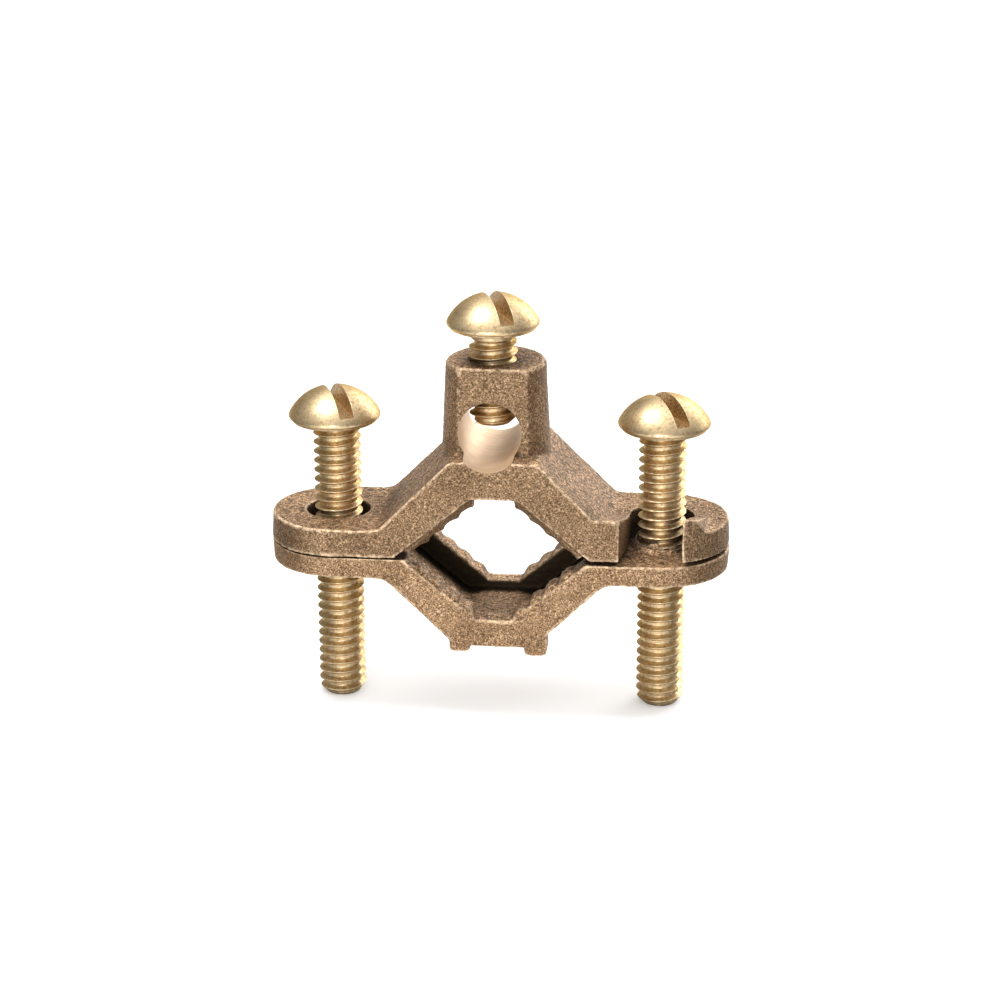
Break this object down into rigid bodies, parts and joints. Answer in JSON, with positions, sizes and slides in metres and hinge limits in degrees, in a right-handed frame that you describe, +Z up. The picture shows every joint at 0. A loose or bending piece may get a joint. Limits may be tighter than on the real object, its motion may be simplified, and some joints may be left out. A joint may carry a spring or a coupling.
{
  "type": "water pipe ground clamp",
  "caption": "Cast bronze ground clamp: two V jaws with toothed pipe seats, drawn together by two slotted screws, with a wire boss and wire screw on top.",
  "frame": {"origin": "centre of the flat foot under the lower jaw, midway between the clamp screws, below the centre of the pipe opening", "axes": "+X towards the clamp screw in the slotted ear, +Y along the pipe away from the slot's mouth, +Z up towards the wire boss"},
  "size_m": [0.0598, 0.0176, 0.0554],
  "materials": {
    "cast_bronze": "matte sand-cast bronze, speckled, with paler worn edges",
    "brass_screws": "satin yellow brass, rolled threads, darker driver slots"
  },
  "bodies": {
    "lower_jaw": {"lower_jaw": "cast_bronze"},
    "left_clamp_screw": {"left_clamp_screw": "brass_screws"},
    "right_clamp_screw": {"right_clamp_screw": "brass_screws"},
    "upper_jaw": {"upper_jaw": "cast_bronze"},
    "wire_screw": {"wire_screw": "brass_screws"}
  },
  "joints": [
    {"name": "clamp_open", "type": "slide", "parent": "lower_jaw", "child": "left_clamp_screw", "axis": [0, 0, 1], "range_m": [0, 0.019]},
    {"name": "right_screw_travel", "type": "slide", "parent": "lower_jaw", "child": "right_clamp_screw", "axis": [0, 0, 1], "range_m": [0, 0.019]},
    {"name": "jaw_swing", "type": "hinge", "parent": "left_clamp_screw", "child": "upper_jaw", "pos_m": [-0.02115, 0, 0.012], "axis": [0, 0, 1], "range_deg": [0, 180]},
    {"name": "wire_screw_travel", "type": "slide", "parent": "upper_jaw", "child": "wire_screw", "axis": [0, 0, 1], "range_m": [-0.0033, 0.005]}
  ],
  "couplings": [
    {"joint": "right_screw_travel", "follows": "clamp_open", "ratio": 1}
  ]
}
